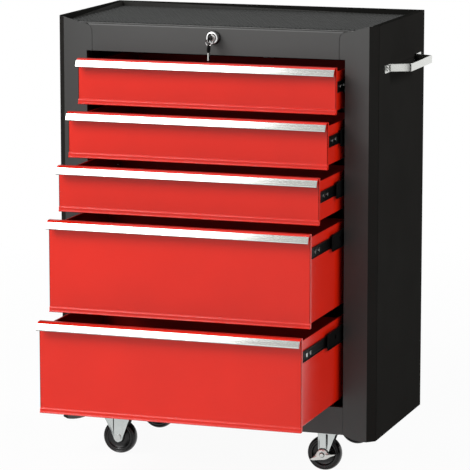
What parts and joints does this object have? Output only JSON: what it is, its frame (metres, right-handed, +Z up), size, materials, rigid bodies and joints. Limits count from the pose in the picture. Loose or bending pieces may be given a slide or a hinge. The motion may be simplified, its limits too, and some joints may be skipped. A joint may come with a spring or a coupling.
{
  "type": "tool cart",
  "caption": "Rolling tool cabinet: red drawers on full-extension slides in a dark sheet-steel body, with a recessed top, side handle, locking bar and swivel and fixed casters.",
  "frame": {"origin": "centre of the whole object's footprint at rest, on the floor", "axes": "+Z up, -Y out of the drawer fronts, +X towards the side with the handle"},
  "size_m": [0.653, 0.591, 0.835],
  "materials": {
    "dark_paint": "fine satin powder coat",
    "red_paint": "semi-gloss powder coat",
    "pull_aluminium": "satin anodised",
    "slide_black": "black coated steel",
    "zinc_steel": "zinc plated",
    "bright_screw": "plated",
    "handle_metal": "satin plated",
    "lock_chrome": "polished",
    "key_black": "moulded grip on a steel blade",
    "wheel_rubber": "moulded",
    "mat": "fine ribbed"
  },
  "bodies": {
    "cabinet": {"side_panel_left": "dark_paint", "side_panel_right": "dark_paint", "back_panel": "dark_paint", "top_tray": "dark_paint", "top_mat": "mat", "lock_panel": "dark_paint", "front_post_left": "dark_paint", "front_post_right": "dark_paint", "bottom_apron": "dark_paint", "base_floor": "dark_paint", "base_channels": "dark_paint", "slide_uprights": "dark_paint", "cabinet_rails": "slide_black", "side_handle": "handle_metal", "handle_screws": "bright_screw", "lock_housing": "lock_chrome", "caster_bolts": "zinc_steel", "fixed_forks": "zinc_steel", "fixed_axles": "zinc_steel", "swivel_plates": "zinc_steel"},
    "drawer_1": {"drawer_1_box": "red_paint", "drawer_1_pull": "pull_aluminium", "drawer_1_rails": "slide_black", "drawer_1_screws": "bright_screw"},
    "middle_slides_1": {"middle_rails_1": "slide_black"},
    "drawer_2": {"drawer_2_box": "red_paint", "drawer_2_pull": "pull_aluminium", "drawer_2_rails": "slide_black", "drawer_2_screws": "bright_screw"},
    "middle_slides_2": {"middle_rails_2": "slide_black"},
    "drawer_3": {"drawer_3_box": "red_paint", "drawer_3_pull": "pull_aluminium", "drawer_3_rails": "slide_black", "drawer_3_screws": "bright_screw"},
    "middle_slides_3": {"middle_rails_3": "slide_black"},
    "drawer_4": {"drawer_4_box": "red_paint", "drawer_4_pull": "pull_aluminium", "drawer_4_rails": "slide_black", "drawer_4_screws": "bright_screw"},
    "middle_slides_4": {"middle_rails_4": "slide_black"},
    "drawer_5": {"drawer_5_box": "red_paint", "drawer_5_pull": "pull_aluminium", "drawer_5_rails": "slide_black", "drawer_5_screws": "bright_screw"},
    "middle_slides_5": {"middle_rails_5": "slide_black"},
    "lock_cylinder": {"lock_plug": "lock_chrome", "lock_rod": "zinc_steel"},
    "locking_bar": {"lock_bar": "zinc_steel"},
    "key": {"key": "key_black"},
    "spare_key": {"spare_key": "key_black"},
    "caster_fork_front": {"swivel_fork_front": "zinc_steel", "swivel_axle_front": "zinc_steel"},
    "wheel_right_front": {"wheel_right_front": "wheel_rubber"},
    "wheel_left_front": {"wheel_left_front": "wheel_rubber"},
    "brake_front": {"brake_front": "zinc_steel"},
    "caster_fork_rear": {"swivel_fork_rear": "zinc_steel", "swivel_axle_rear": "zinc_steel"},
    "wheel_right_rear": {"wheel_right_rear": "wheel_rubber"},
    "wheel_left_rear": {"wheel_left_rear": "wheel_rubber"},
    "brake_rear": {"brake_rear": "zinc_steel"}
  },
  "joints": [
    {"name": "drawer_1_slide", "type": "slide", "parent": "cabinet", "child": "drawer_1", "axis": [0, -1, 0], "range_m": [-0.048, 0.222]},
    {"name": "middle_slides_1_run", "type": "slide", "parent": "cabinet", "child": "middle_slides_1", "axis": [0, -1, 0], "range_m": [-0.024, 0.111]},
    {"name": "drawer_2_slide", "type": "slide", "parent": "cabinet", "child": "drawer_2", "axis": [0, -1, 0], "range_m": [-0.098, 0.172]},
    {"name": "middle_slides_2_run", "type": "slide", "parent": "cabinet", "child": "middle_slides_2", "axis": [0, -1, 0], "range_m": [-0.049, 0.086]},
    {"name": "drawer_3_slide", "type": "slide", "parent": "cabinet", "child": "drawer_3", "axis": [0, -1, 0], "range_m": [-0.148, 0.122]},
    {"name": "middle_slides_3_run", "type": "slide", "parent": "cabinet", "child": "middle_slides_3", "axis": [0, -1, 0], "range_m": [-0.074, 0.061]},
    {"name": "drawer_4_slide", "type": "slide", "parent": "cabinet", "child": "drawer_4", "axis": [0, -1, 0], "range_m": [-0.198, 0.072]},
    {"name": "middle_slides_4_run", "type": "slide", "parent": "cabinet", "child": "middle_slides_4", "axis": [0, -1, 0], "range_m": [-0.099, 0.036]},
    {"name": "drawer_5_slide", "type": "slide", "parent": "cabinet", "child": "drawer_5", "axis": [0, -1, 0], "range_m": [-0.248, 0.022]},
    {"name": "middle_slides_5_run", "type": "slide", "parent": "cabinet", "child": "middle_slides_5", "axis": [0, -1, 0], "range_m": [-0.124, 0.011]},
    {"name": "lock_turn", "type": "hinge", "parent": "cabinet", "child": "lock_cylinder", "pos_m": [-0.019, -0.03055, 0.805], "axis": [0, 1, 0], "range_deg": [0, 90]},
    {"name": "locking_bar_drop", "type": "slide", "parent": "cabinet", "child": "locking_bar", "axis": [0, 0, -1], "range_m": [0, 0.0105]},
    {"name": "key_pull", "type": "slide", "parent": "lock_cylinder", "child": "key", "axis": [0, -1, 0], "range_m": [0, 0.03]},
    {"name": "spare_key_swing", "type": "hinge", "parent": "key", "child": "spare_key", "pos_m": [-0.019, -0.06005, 0.7918], "axis": [1, 0, 0], "range_deg": [-20, 15]},
    {"name": "caster_front_swivel", "type": "hinge", "parent": "cabinet", "child": "caster_fork_front", "pos_m": [0.197, 0.02545, 0.076], "axis": [0, 0, 1], "continuous": true},
    {"name": "wheel_right_front_spin", "type": "hinge", "parent": "caster_fork_front", "child": "wheel_right_front", "pos_m": [0.179, 0.02545, 0.0325], "axis": [0, 1, 0], "continuous": true},
    {"name": "wheel_left_front_spin", "type": "hinge", "parent": "cabinet", "child": "wheel_left_front", "pos_m": [-0.227, 0.02545, 0.0325], "axis": [0, 1, 0], "continuous": true},
    {"name": "brake_front_press", "type": "hinge", "parent": "caster_fork_front", "child": "brake_front", "pos_m": [0.179, 0.02545, 0.0325], "axis": [0, -1, 0], "range_deg": [0, 18]},
    {"name": "caster_rear_swivel", "type": "hinge", "parent": "cabinet", "child": "caster_fork_rear", "pos_m": [0.197, 0.23945, 0.076], "axis": [0, 0, 1], "continuous": true},
    {"name": "wheel_right_rear_spin", "type": "hinge", "parent": "caster_fork_rear", "child": "wheel_right_rear", "pos_m": [0.179, 0.23945, 0.0325], "axis": [0, 1, 0], "continuous": true},
    {"name": "wheel_left_rear_spin", "type": "hinge", "parent": "cabinet", "child": "wheel_left_rear", "pos_m": [-0.227, 0.23945, 0.0325], "axis": [0, 1, 0], "continuous": true},
    {"name": "brake_rear_press", "type": "hinge", "parent": "caster_fork_rear", "child": "brake_rear", "pos_m": [0.179, 0.23945, 0.0325], "axis": [0, -1, 0], "range_deg": [0, 18]}
  ],
  "couplings": [
    {"joint": "middle_slides_1_run", "follows": "drawer_1_slide", "ratio": 0.5},
    {"joint": "middle_slides_2_run", "follows": "drawer_2_slide", "ratio": 0.5},
    {"joint": "middle_slides_3_run", "follows": "drawer_3_slide", "ratio": 0.5},
    {"joint": "middle_slides_4_run", "follows": "drawer_4_slide", "ratio": 0.5},
    {"joint": "middle_slides_5_run", "follows": "drawer_5_slide", "ratio": 0.5},
    {"joint": "locking_bar_drop", "follows": "lock_turn", "m_per_rad": 0.006366}
  ]
}
